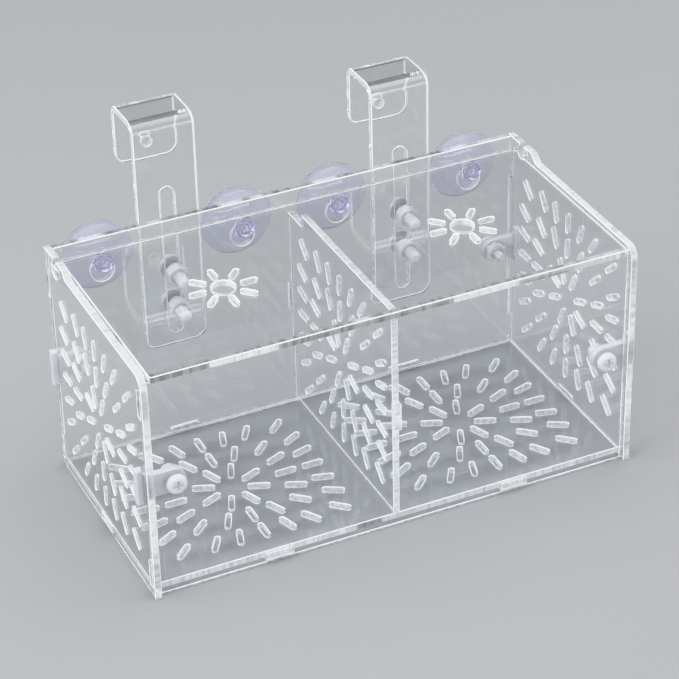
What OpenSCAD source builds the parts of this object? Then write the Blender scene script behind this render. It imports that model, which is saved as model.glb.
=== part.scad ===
// Two-compartment fish breeding box: slotted clear sheet panels that finger-joint
// together, a lid that swings in keyhole ears, two rim hooks and four suction cups.
// X runs along the width, Y from the front to the rim hooks, Z up from the ground.

/* [Sheet] */
// Thickness of the clear sheet that every panel and hook is cut from
sheet_t = 2.8; // [2.5:0.1:3.1]
// Play at each end of a tab in its slot
tab_play = 0.1; // [0.05:0.05:0.2]
// Length of each finger tab
tab_len = 11; // [9:0.5:13]

/* [Box] */
// Width of the box over its end panels
box_w = 200; // [190:1:240]
// Depth of the box over its front and back panels
box_d = 97.7; // [96:0.1:120]
// Height of the end panels in front of their pivot humps
box_h = 96; // [94:1:120]
// Distance that the front panel stands back from the end panels' front edges
front_set = 1.5; // [1:0.1:3]
// Radius of the end panels' top front corners
corner_r = 5.5; // [2:0.5:8]
// Height of the floor's underside above the ground
floor_z = 2; // [1.5:0.5:6]
// Height of the lower side tabs above the ground
low_tab_z = 4.5; // [4:0.5:8]
// Distance from the front panel's top down to the upper side tabs
high_tab_drop = 3.8; // [2:0.2:5]
// Length of the divider's tab in the front and back panels
divider_tab_len = 11; // [8:0.5:14]
// Height of the middle of the divider's tabs
divider_tab_z = 49; // [42:1:56]

/* [Lid] */
// Gap between the lid and each end panel
lid_gap = 0.95; // [0.5:0.05:1.5]
// Distance from the box's back face to the lid's pivot axis
pivot_back = 11.2; // [10:0.1:14]
// Distance that the lid reaches behind its pivot axis
lid_tail = 4.5; // [3.5:0.1:5]
// Length of the lid's ears along the end panel
ear_len = 6.4; // [6:0.1:7]
// Running clearance between the ears' corners and the pivot hole
pivot_play = 0.06; // [0.03:0.01:0.1]
// Extra width of the slit that lets an ear out of its pivot hole
slit_play = 0.4; // [0.2:0.1:0.8]
// Height of the pivot hump over the end panel's top edge
hump_h = 3; // [3:0.2:6]
// Length of the flat on top of the hump
hump_len = 18.7; // [18:0.1:22]
// Length of the curved shoulder in front of the hump
shoulder_len = 4.5; // [2:0.5:8]
// Radius of the lid's corners
lid_corner_r = 1; // [0.5:0.5:3]
// Gap that the lid's tail keeps over the divider as it swings
swing_gap = 1.7; // [1:0.1:3]
// Radius of each feeding hole
feed_r = 4.5; // [3.5:0.1:5]
// Distance from the box's front face to the feeding holes
feed_y = 45; // [40:1:55]
// Radius of the ring of slots round a feeding hole
feed_ring_r = 10.2; // [9.5:0.1:14]
// Length of a slot round a feeding hole
feed_slot_len = 6.5; // [5:0.5:8]

/* [Water slots] */
// Width of every water slot
slot_w = 2; // [1.5:0.1:2.4]
// Length of a water slot
slot_len = 8.5; // [6:0.5:8.5]
// Radius of the innermost ring of slots
inner_ring_r = 10.7; // [10:0.1:12]
// Spacing of the slots along a square ring's side
ring_pitch = 9.8; // [9:0.1:10.5]
// Reach of the second ring along the panel's length
ring_reach = 23; // [21:0.5:24]
// Reach of the second ring on the upright panels' height
ring_rise = 21; // [20:0.5:23]
// Reach of the second ring on the floor's depth
floor_ring_rise = 20; // [19.5:0.5:21]
// Added reach of each further ring
ring_step = 11.4; // [10.5:0.1:11.5]
// Distance that a ring's corner slots are drawn in
corner_pull = 2.2; // [1:0.1:3]
// Height of the middle of the divider's slot pattern
divider_pattern_z = 47; // [46:0.5:52]

/* [Rim hooks] */
// Width of each hook strip
hook_w = 25; // [20:0.5:28]
// Height of each hook from its bottom to the top of its bend
hook_h = 100; // [95:1:130]
// Height of the left hook's bottom above the ground
left_hook_z = 40.5; // [36:0.5:50]
// Height of the right hook's bottom above the ground
right_hook_z = 33.5; // [32:0.5:50]
// Width of the throat that takes the tank's wall
throat_w = 17.2; // [10:0.2:22]
// Inner radius of the hook's bends
bend_r = 2.6; // [0.8:0.1:3.5]
// Length of the flap that hangs behind the tank's wall
flap_h = 26; // [22:1:40]
// Radius of the hook's and flap's corners
hook_corner_r = 4.5; // [1.5:0.5:6]
// Radius of the hole in each flap
flap_hole_r = 2; // [1.5:0.1:2.5]
// Height of the flap's hole over the flap's end
flap_hole_up = 7.5; // [6:0.5:12]
// Width of the slot that the hook slides on
hook_slot_w = 5.7; // [5.5:0.1:6.5]
// Distance from the hook's bottom to its slot
hook_slot_up = 5.5; // [5:0.5:8]
// Length of the hook's slot
hook_slot_len = 65; // [58:1:66]

/* [Hook screws] */
// Height of the upper hook screws above the ground
hook_screw_z = 74; // [72:1:80]
// Spacing of the two screws on a hook
hook_screw_pitch = 15; // [12:1:18]
// Radius of a hook screw's thread
hook_screw_r = 2.45; // [2.3:0.05:2.5]
// Radius of a hook screw's head
hook_head_r = 4.75; // [4.5:0.05:5]
// Height of a hook screw's head
hook_head_h = 3.2; // [2.5:0.1:4]
// Length of a hook screw under its head
hook_screw_len = 16; // [14:0.5:20]
// Width of a hook nut across its flats
hook_nut_af = 8; // [7.5:0.1:9]
// Height of a hook nut
hook_nut_h = 4; // [3:0.1:5]

/* [Suction cups] */
// Gap between a cup's rim and the rim hook that it stands beside
cup_gap = 1.5; // [0.8:0.1:2]
// Height of the cups' axes above the ground
cup_z = 87; // [86:0.5:88]
// Radius of a cup's rim
cup_r = 15; // [13:0.1:15]
// Height of a cup from the back panel to its rim
cup_h = 5.1; // [4.5:0.1:6]
// Thickness of a cup's skirt at its rim
cup_lip = 0.7; // [0.6:0.1:1]
// Radius of a cup's neck in its keyhole
cup_neck_r = 2.45; // [2.2:0.05:2.6]
// Thickness of a cup's middle behind the back panel
cup_core_t = 1.6; // [1.2:0.1:2]
// Width of the flat face on a cup's rim
cup_rim_w = 1.2; // [0.8:0.1:1.6]
// Radius of a cup's knob in front of the back panel
knob_r = 4.2; // [3.8:0.1:4.3]
// Thickness of a cup's knob
knob_t = 2.5; // [2:0.1:2.6]
// Running clearance between the neck and its seat in the keyhole
neck_play = 0.05; // [0.03:0.01:0.1]
// Clearance between the knob and the keyhole's entry
entry_play = 0.5; // [0.3:0.1:0.6]
// Distance that a cup drops from its seat to the keyhole's entry
keyhole_drop = 4.3; // [4:0.1:5]

/* [Corner straps] */
// Distance from the end panel's outer face to a strap screw's axis
strap_screw_in = 11.5; // [10:0.1:13]
// Height of the straps' middle above the ground
strap_z = 48; // [46:0.1:52]
// Reach of a strap's arm from the end panel's outer face
strap_reach = 16.4; // [15.5:0.1:20]
// Height of a strap's arm
strap_arm_h = 9.7; // [9:0.1:12]
// Thickness of a strap's arm
strap_arm_t = 2.6; // [2:0.1:2.8]
// Length of the crossbar outside the end panel
strap_bar_h = 15.4; // [14:0.1:20]
// Width of the crossbar
strap_bar_w = 3.4; // [3:0.1:4.2]
// Thickness of the crossbar
strap_bar_t = 2.5; // [2:0.1:3.4]
// Play between a strap's arm and its slot
strap_play = 0.2; // [0.1:0.05:0.3]
// Radius of a strap screw's thread
strap_screw_r = 1.95; // [1.8:0.05:2]
// Radius of a strap screw's head
strap_head_r = 3.9; // [3.5:0.1:4.2]
// Height of a strap screw's head
strap_head_h = 2.6; // [2:0.1:3]
// Length of a strap screw under its head
strap_screw_len = 12; // [11:0.5:16]
// Width of a strap nut across its flats
strap_nut_af = 7.6; // [6.5:0.1:8]
// Height of a strap nut
strap_nut_h = 3.2; // [2.5:0.1:4]

/* [Screw fits] */
// Radial clearance of a screw in a panel's or a strap's hole
hole_play = 0.15; // [0.1:0.05:0.3]
// Running clearance of a nut on its screw
nut_play = 0.05; // [0.03:0.01:0.1]
// Width of the driver cross in a screw's head
cross_w = 1; // [0.8:0.1:1.2]
// Depth of the driver cross
cross_depth = 1.4; // [1:0.1:1.6]

/* [Hidden] */

// Sides: LEFT and RIGHT multiply X
LEFT = -1;
RIGHT = 1;

// Cutters run this far past the faces they cut through
eps = 1;
// A tab runs this far into the panel that it grows from
root = 0.5;

sheet_color = [0.86, 0.90, 0.93, 0.45];
nylon_color = [0.84, 0.87, 0.90];
cup_color = [0.72, 0.70, 0.90, 0.7];

// Inside the box: a bay lies between the divider and an end panel
front_in = front_set + sheet_t;
inner_w = box_w - 2 * sheet_t;
inner_d = box_d - sheet_t - front_in;
half_w = box_w / 2;
bay_x = (inner_w / 2 + sheet_t / 2) / 2;
front_h = box_h - sheet_t;
hump_z = box_h + hump_h;
floor_top = floor_z + sheet_t;
high_tab_z = front_h - high_tab_drop - tab_len;

// Lid and pivots: the lid's top lies level with the end panels' tops
pivot_y = box_d - pivot_back;
pivot_z = box_h - sheet_t / 2;
lid_back = pivot_y + lid_tail;
lid_w = inner_w - 2 * lid_gap;
pivot_r = sqrt(pow(ear_len / 2, 2) + pow(sheet_t / 2, 2)) + pivot_play;
slit_w = sheet_t + slit_play;
sweep_r = sqrt(pow(lid_tail, 2) + pow(sheet_t / 2, 2));
step_y = pivot_y - sweep_r;
step_z = pivot_z - sweep_r - swing_gap;

// Rim hooks: the strip's front face lies on the back panel's outer face
hook_front = box_d;
hook_depth = throat_w + 2 * sheet_t;
bend_out = bend_r + sheet_t;

// Suction cups: one on each side of a rim hook
cup_out = hook_w / 2 + cup_r + cup_gap;
outer_cup_x = bay_x + cup_out;
inner_cup_x = bay_x - cup_out;
entry_r = knob_r + entry_play;
seat_r = cup_neck_r + neck_play;
flange_r = entry_r + 1.4;
knob_round = 0.8;
skirt_steps = 6;

// Corner straps and their screws
strap_slot_h = strap_arm_h + 2 * strap_play;
strap_mid_y = sheet_t + strap_arm_t / 2;

// The whole model is moved so that the origin is the middle of its footprint, which
// reaches forward to the strap screws' heads
head_reach = max(0, strap_head_h - front_set);
front_y = -(box_d + hook_depth - head_reach) / 2;

// Steps in a rounded corner and in the hump's shoulder
arc_steps = 8;
shoulder_steps = 10;

// Points of an arc round [cx, cy] from angle a0 to a1
function arc(cx, cy, r, a0, a1, n = arc_steps) =
    [for (i = [0:n]) let (a = a0 + (a1 - a0) * i / n) [cx + r * cos(a), cy + r * sin(a)]];

// Points of a rectangle with its lower corner at [x, y] and all four corners rounded
function round_rect(x, y, w, h, r) = concat(
    arc(x + w - r, y + r, r, -90, 0),
    arc(x + w - r, y + h - r, r, 0, 90),
    arc(x + r, y + h - r, r, 90, 180),
    arc(x + r, y + r, r, 180, 270)
);

// Y of the front panel's outer face, or of the back panel's if back is 1
function wall_y(back) = back == 1 ? box_d : front_set;

// Places of the slots along the sides of square ring n, corners drawn in
function ring_points(n, reach, rise, pitch, pull) = concat(
    [for (s = [-1, 1], i = [1 - n:n - 1]) [i * pitch, s * rise]],
    [for (s = [-1, 1], i = [1 - n:n - 1]) [s * reach, i * pitch]],
    [for (s = [-1, 1], t = [-1, 1]) [s * (reach - pull), t * (rise - pull / 2)]]
);

// ---- Shared shapes --------------------------------------------------------

// From the box's own frame, with Y = 0 on the end panels' front edges, to the model's
module in_frame() {
    translate([0, front_y, 0]) children();
}

// Stands a flat shape in the XZ plane with its front at y, t thick
module upright(y, t = sheet_t) {
    translate([0, y + t, 0]) rotate([90, 0, 0]) linear_extrude(t) children();
}

// Stands a flat shape in the YZ plane with its left face at x, t thick
module endwise(x, t = sheet_t) {
    translate([x, 0, 0]) rotate([90, 0, 90]) linear_extrude(t) children();
}

// Lays the axis of a turned shape along -Y, starting at y
module along_y(x, y, z) {
    translate([x, y, z]) rotate([90, 0, 0]) children();
}

// One slot with round ends, centred, along X
module slot(len = slot_len, w = slot_w) {
    polygon(concat(
        arc(len / 2 - w / 2, 0, w / 2, -90, 90, 6),
        arc(w / 2 - len / 2, 0, w / 2, 90, 270, 6)
    ));
}

// A slot at p that points to the pattern's middle
module radial_slot(p, len = slot_len) {
    translate(p) rotate(atan2(p[1], p[0])) slot(len);
}

// The burst of water slots: one round ring and two square ones
module water_slots(reach = ring_reach, rise = ring_rise) {
    for (i = [0:7]) {
        a = 22.5 + 45 * i;
        radial_slot([inner_ring_r * cos(a), inner_ring_r * sin(a)]);
    }
    for (n = [2:3]) {
        out = (n - 2) * ring_step;
        for (p = ring_points(n, reach + out, rise + out, ring_pitch, corner_pull)) radial_slot(p);
    }
}

// A cutter for a tab of the given length, centred at the origin, along X
module tab_slot(len = tab_len) {
    square([len + 2 * tab_play, sheet_t], center = true);
}

// A tab of the given length that stands out of a panel's edge at the origin, along angle a
module tab(a, len = tab_len, out = sheet_t) {
    rotate(a) translate([-root, -len / 2]) square([out + root, len]);
}

// Two tabs on each side of an upright panel
module side_tabs() {
    for (z = [low_tab_z, high_tab_z]) {
        translate([inner_w / 2, z + tab_len / 2]) tab(0);
        translate([-inner_w / 2, z + tab_len / 2]) tab(180);
    }
}

// Holes that the front and back panels share
module shared_holes() {
    for (side = [LEFT, RIGHT]) {
        translate([side * bay_x, floor_z + sheet_t / 2]) tab_slot();
        translate([side * (half_w - strap_screw_in), strap_z])
            circle(strap_screw_r + hole_play, $fn = 32);
    }
    translate([0, divider_tab_z]) rotate(90) tab_slot(divider_tab_len);
}

// Keyhole: a round entry below and a narrow seat for the cup's neck above
module keyhole() {
    translate([0, -keyhole_drop]) circle(entry_r, $fn = 48);
    translate([0, -keyhole_drop / 2]) square([2 * seat_r, keyhole_drop], center = true);
    circle(seat_r, $fn = 48);
}

// ---- Panels ---------------------------------------------------------------

module front_panel() {
    color(sheet_color) in_frame() upright(front_set) difference() {
        union() {
            translate([-inner_w / 2, 0]) square([inner_w, front_h]);
            side_tabs();
        }
        shared_holes();
    }
}

module back_panel() {
    color(sheet_color) in_frame() upright(box_d - sheet_t) difference() {
        union() {
            translate([-inner_w / 2, 0]) square([inner_w, hump_z]);
            side_tabs();
        }
        shared_holes();
        for (side = [LEFT, RIGHT]) {
            for (x = [inner_cup_x, outer_cup_x]) translate([side * x, cup_z]) keyhole();
            for (k = [0:1])
                translate([side * bay_x, hook_screw_z - k * hook_screw_pitch])
                    circle(hook_screw_r + hole_play, $fn = 32);
        }
    }
}

// Edge of an end panel, drawn with Y across and Z up
function end_edge() = concat(
    [[0, 0], [box_d, 0], [box_d, hump_z]],
    [for (k = [0:shoulder_steps])
        let (t = k / shoulder_steps)
        [
            box_d - hump_len - shoulder_len * t,
            box_h + hump_h * (1 + cos(180 * t)) / 2
        ]],
    arc(corner_r, box_h - corner_r, corner_r, 90, 180)
);

module end_outline() {
    difference() {
        polygon(end_edge());
        // Slots for the front panel's tabs and notches at the back edge for the back panel's
        for (z = [low_tab_z, high_tab_z]) {
            translate([front_in - sheet_t / 2, z + tab_len / 2]) rotate(90) tab_slot();
            translate([box_d - sheet_t, z - tab_play])
                square([sheet_t + eps, tab_len + 2 * tab_play]);
        }
        // Floor tab
        translate([box_d / 2, floor_z + sheet_t / 2]) tab_slot();
        // Strap arms, against the inner faces of the front and back panels
        for (y = [front_set + strap_mid_y, box_d - strap_mid_y])
            translate([y, strap_z]) square([strap_arm_t, strap_slot_h], center = true);
        // Pivot hole and the slit that opens it through the hump
        translate([pivot_y, pivot_z]) circle(pivot_r, $fn = 64);
        translate([pivot_y - slit_w / 2, pivot_z]) square([slit_w, hump_h + sheet_t + eps]);
        translate([box_d / 2, box_h / 2]) water_slots();
    }
}

module left_end_panel() {
    color(sheet_color) in_frame() endwise(-half_w) end_outline();
}

module right_end_panel() {
    color(sheet_color) in_frame() endwise(half_w - sheet_t) end_outline();
}

module floor_panel() {
    color(sheet_color) in_frame() translate([0, 0, floor_z]) linear_extrude(sheet_t) difference() {
        union() {
            translate([-inner_w / 2, front_in]) square([inner_w, inner_d]);
            translate([inner_w / 2, box_d / 2]) tab(0);
            translate([-inner_w / 2, box_d / 2]) tab(180);
            for (side = [LEFT, RIGHT]) {
                translate([side * bay_x, box_d - sheet_t]) tab(90);
                translate([side * bay_x, front_in]) tab(-90);
            }
        }
        for (side = [LEFT, RIGHT])
            translate([side * bay_x, box_d / 2]) water_slots(rise = floor_ring_rise);
    }
}

module divider() {
    color(sheet_color) in_frame() endwise(-sheet_t / 2) difference() {
        union() {
            polygon([
                [front_in, floor_top], [box_d - sheet_t, floor_top], [box_d - sheet_t, step_z],
                [step_y, step_z], [step_y, front_h], [front_in, front_h]
            ]);
            translate([box_d - sheet_t, divider_tab_z]) tab(0, divider_tab_len);
            translate([front_in, divider_tab_z]) tab(180, divider_tab_len);
        }
        translate([box_d / 2, divider_pattern_z]) water_slots();
    }
}

// ---- Lid ------------------------------------------------------------------

module lid() {
    color(sheet_color) in_frame() translate([0, 0, front_h]) linear_extrude(sheet_t) difference() {
        union() {
            polygon(round_rect(-lid_w / 2, 0, lid_w, lid_back, lid_corner_r));
            translate([lid_w / 2, pivot_y]) tab(0, ear_len, half_w - lid_w / 2);
            translate([-lid_w / 2, pivot_y]) tab(180, ear_len, half_w - lid_w / 2);
        }
        for (side = [LEFT, RIGHT]) translate([side * bay_x, feed_y]) {
            circle(feed_r, $fn = 64);
            for (i = [0:7]) radial_slot(feed_ring_r * [cos(45 * i), sin(45 * i)], feed_slot_len);
        }
    }
}

// ---- Rim hooks ------------------------------------------------------------

// Side view of the bent strip, with Y across and Z up from the hook's bottom
function hook_profile() = concat(
    [[0, 0]],
    arc(bend_out, hook_h - bend_out, bend_out, 180, 90),
    arc(hook_depth - bend_out, hook_h - bend_out, bend_out, 90, 0),
    [[hook_depth, hook_h - flap_h], [hook_depth - sheet_t, hook_h - flap_h]],
    arc(hook_depth - bend_out, hook_h - bend_out, bend_r, 0, 90),
    arc(bend_out, hook_h - bend_out, bend_r, 90, 180),
    [[sheet_t, 0]]
);

// Rounds off the two corners of a strip's lower end at height z, as a cutter
module corner_cutter(z) {
    r = hook_corner_r;
    for (side = [LEFT, RIGHT]) polygon(concat(
        [[side * (hook_w / 2 + eps), z - eps], [side * (hook_w / 2 + eps), z + r]],
        [for (p = arc(hook_w / 2 - r, z + r, r, 0, -90)) [side * p[0], p[1]]],
        [[side * (hook_w / 2 - r), z - eps]]
    ));
}

module hook(x, z) {
    color(sheet_color) in_frame() translate([x, hook_front, z]) difference() {
        translate([-hook_w / 2, 0, 0]) rotate([90, 0, 90]) linear_extrude(hook_w)
            polygon(hook_profile());
        upright(-eps, sheet_t + 2 * eps) {
            corner_cutter(0);
            translate([0, hook_slot_up + hook_slot_len / 2]) rotate(90)
                slot(hook_slot_len, hook_slot_w);
        }
        upright(hook_depth - sheet_t - eps, sheet_t + 2 * eps) {
            corner_cutter(hook_h - flap_h);
            translate([0, hook_h - flap_h + flap_hole_up]) circle(flap_hole_r, $fn = 32);
        }
    }
}

module left_hook() {
    hook(-bay_x, left_hook_z);
}

module right_hook() {
    hook(bay_x, right_hook_z);
}

// ---- Screws and nuts ------------------------------------------------------

// Pan-head screw: underside of the head at the origin, thread along +Z
module pan_screw(r, len, head_r, head_h) {
    chamfer = r * 0.2;
    difference() {
        rotate_extrude($fn = 32) polygon(concat(
            [[0, len], [r - chamfer, len], [r, len - chamfer], [r, 0], [head_r, 0]],
            arc(head_r - head_h * 0.6, -head_h * 0.4, head_h * 0.6, 0, -90, 4),
            [[0, -head_h]]
        ));
        translate([0, 0, -head_h]) for (a = [0, 90]) rotate(a)
            cube([head_r * 1.2, cross_w, 2 * cross_depth], center = true);
    }
}

// Hexagon nut: seat at the origin, height along +Z
module hex_nut(af, h, r) {
    difference() {
        cylinder(h = h, r = af / 2 / cos(30), $fn = 6);
        translate([0, 0, -eps]) cylinder(h = h + 2 * eps, r = r, $fn = 32);
    }
}

module hook_screws(x) {
    color(nylon_color) in_frame() for (k = [0:1])
        along_y(x, hook_front + sheet_t, hook_screw_z - k * hook_screw_pitch)
            pan_screw(hook_screw_r, hook_screw_len, hook_head_r, hook_head_h);
}

module left_hook_screws() {
    hook_screws(-bay_x);
}

module right_hook_screws() {
    hook_screws(bay_x);
}

module hook_nut(x, z) {
    color(nylon_color) in_frame() along_y(x, box_d - sheet_t, z)
        hex_nut(hook_nut_af, hook_nut_h, hook_screw_r + nut_play);
}

module left_upper_nut() {
    hook_nut(-bay_x, hook_screw_z);
}

module left_lower_nut() {
    hook_nut(-bay_x, hook_screw_z - hook_screw_pitch);
}

module right_upper_nut() {
    hook_nut(bay_x, hook_screw_z);
}

module right_lower_nut() {
    hook_nut(bay_x, hook_screw_z - hook_screw_pitch);
}

// ---- Suction cups ---------------------------------------------------------

// Half section of a cup: radius across, distance behind the back panel's outer face up
function cup_section() = concat(
    [[0, -sheet_t - knob_t]],
    arc(knob_r - knob_round, -sheet_t - knob_t + knob_round, knob_round, -90, 0, 4),
    [[knob_r, -sheet_t], [cup_neck_r, -sheet_t], [cup_neck_r, 0], [flange_r, 0]],
    [for (k = [1:skirt_steps]) let (t = k / skirt_steps)
        [flange_r + (cup_r - flange_r) * t, (cup_h - cup_lip) * pow(t, 1.6)]],
    [[cup_r, cup_h]],
    [for (k = [0:skirt_steps]) let (t = 1 - k / skirt_steps)
        [(cup_r - cup_rim_w) * t, cup_core_t + (cup_h - cup_core_t) * pow(t, 1.8)]]
);

module cup(x) {
    color(cup_color) in_frame() translate([x, box_d, cup_z]) rotate([-90, 0, 0])
        rotate_extrude($fn = 48) polygon(cup_section());
}

module outer_left_cup() {
    cup(-outer_cup_x);
}

module inner_left_cup() {
    cup(-inner_cup_x);
}

module inner_right_cup() {
    cup(inner_cup_x);
}

module outer_right_cup() {
    cup(outer_cup_x);
}

// ---- Corner straps --------------------------------------------------------

// Arm of a strap in the XZ plane, from the crossbar to its round end, left-hand side
module strap_arm() {
    r = strap_arm_h / 2;
    difference() {
        translate([-half_w, strap_z])
            polygon(concat([[-root, r], [-root, -r]], arc(strap_reach - r, 0, r, -90, 90, 12)));
        translate([strap_screw_in - half_w, strap_z]) circle(strap_screw_r + hole_play, $fn = 32);
    }
}

// Corner strap: side picks the end, back is 0 at the front panel and 1 at the back one
module strap(side, back) {
    color(nylon_color) in_frame()
        translate([0, wall_y(back), 0]) flip_x(side) flip_y(back) {
            upright(sheet_t, strap_arm_t) strap_arm();
            endwise(-half_w - strap_bar_t, strap_bar_t) polygon(round_rect(
                strap_mid_y - strap_bar_w / 2, strap_z - strap_bar_h / 2,
                strap_bar_w, strap_bar_h, 1
            ));
        }
}

// Mirrors its children to the right-hand end of the box
module flip_x(side) {
    mirror([side == RIGHT ? 1 : 0, 0, 0]) children();
}

// Mirrors its children to the back of the box
module flip_y(back) {
    mirror([0, back, 0]) children();
}

module front_left_strap() {
    strap(LEFT, 0);
}

module front_right_strap() {
    strap(RIGHT, 0);
}

module back_left_strap() {
    strap(LEFT, 1);
}

module back_right_strap() {
    strap(RIGHT, 1);
}

// Puts its children at each corner, with the outer face at Y = 0 and the inside along +Y
module at_corners() {
    in_frame() for (side = [LEFT, RIGHT], back = [0, 1])
        translate([side * (half_w - strap_screw_in), wall_y(back), strap_z])
            rotate([back == 1 ? 90 : -90, 0, 0]) children();
}

module strap_screws() {
    color(nylon_color) at_corners()
        pan_screw(strap_screw_r, strap_screw_len, strap_head_r, strap_head_h);
}

module strap_nuts() {
    color(nylon_color) at_corners()
        translate([0, 0, sheet_t + strap_arm_t])
            hex_nut(strap_nut_af, strap_nut_h, strap_screw_r + nut_play);
}

front_panel();
back_panel();
left_end_panel();
right_end_panel();
floor_panel();
divider();
lid();
left_hook();
right_hook();
outer_left_cup();
inner_left_cup();
inner_right_cup();
outer_right_cup();
left_hook_screws();
right_hook_screws();
left_upper_nut();
left_lower_nut();
right_upper_nut();
right_lower_nut();
front_left_strap();
front_right_strap();
back_left_strap();
back_right_strap();
strap_screws();
strap_nuts();
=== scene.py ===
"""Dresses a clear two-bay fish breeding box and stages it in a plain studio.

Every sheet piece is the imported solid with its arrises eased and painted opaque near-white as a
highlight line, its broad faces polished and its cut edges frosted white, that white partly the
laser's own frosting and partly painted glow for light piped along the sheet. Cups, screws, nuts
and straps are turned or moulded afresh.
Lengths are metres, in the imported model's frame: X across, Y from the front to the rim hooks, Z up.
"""

from __future__ import annotations

import logging
import math
from dataclasses import dataclass, field
from enum import Enum
from typing import Callable, Sequence

import bmesh
import bpy
import numpy as np
from mathutils import Matrix, Vector

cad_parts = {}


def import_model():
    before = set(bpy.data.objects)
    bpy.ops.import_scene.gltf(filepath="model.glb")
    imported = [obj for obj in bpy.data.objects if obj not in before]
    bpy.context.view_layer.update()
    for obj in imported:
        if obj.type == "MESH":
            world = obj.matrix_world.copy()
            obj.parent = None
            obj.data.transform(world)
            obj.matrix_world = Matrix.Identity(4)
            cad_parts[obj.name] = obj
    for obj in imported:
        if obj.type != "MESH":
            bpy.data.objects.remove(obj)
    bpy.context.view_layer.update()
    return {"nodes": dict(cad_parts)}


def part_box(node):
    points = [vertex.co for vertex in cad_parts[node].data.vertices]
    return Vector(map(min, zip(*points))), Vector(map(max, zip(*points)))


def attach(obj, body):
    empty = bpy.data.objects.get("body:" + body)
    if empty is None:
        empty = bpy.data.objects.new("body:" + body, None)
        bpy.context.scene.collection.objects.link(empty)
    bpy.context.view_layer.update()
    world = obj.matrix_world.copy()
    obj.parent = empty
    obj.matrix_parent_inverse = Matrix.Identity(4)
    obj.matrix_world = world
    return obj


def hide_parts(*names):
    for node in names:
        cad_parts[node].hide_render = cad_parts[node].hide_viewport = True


LOG = logging.getLogger("breeding_box")
MM = 0.001
SHEET_T = 2.8 * MM
MERGE = 0.002 * MM
UNSTRETCHED = (1.0, 1.0, 1.0)
ACRYLIC_INDEX = 1.49
NYLON_INDEX = 1.53
PVC_INDEX = 1.52
WHITE = (1.0, 1.0, 1.0, 1.0)
SQUARE = 0.99999
POLISHED, CUT_EDGE, ARRIS, SLOT_WALL = range(4)

Point = tuple[float, float, float]
Colour = tuple[float, float, float, float]
Faces = list[list[int]]
Nodes = dict[str, bpy.types.Object]


def dimmed(colour: Colour, share: float) -> Colour:
    """Returns a colour with its red, green and blue times a share."""
    return tuple(share * c for c in colour[:3]) + (1.0,)


class Axis(Enum):
    """The three directions of the frame."""

    X = 0
    Y = 1
    Z = 2

    def unit(self, sign: float = 1.0) -> Vector:
        """Gives the unit vector along this axis.

        Args:
            sign: 1 along the axis, -1 against it.

        Returns:
            The vector.
        """
        vector = Vector((0.0, 0.0, 0.0))
        vector[self.value] = sign
        return vector


class Slot(Enum):
    """The record's material slots."""

    SHEET = "sheet"
    NYLON = "nylon"
    CUP = "soft_pvc"


# ---- Node trees ---------------------------------------------------------------------------------


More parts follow.
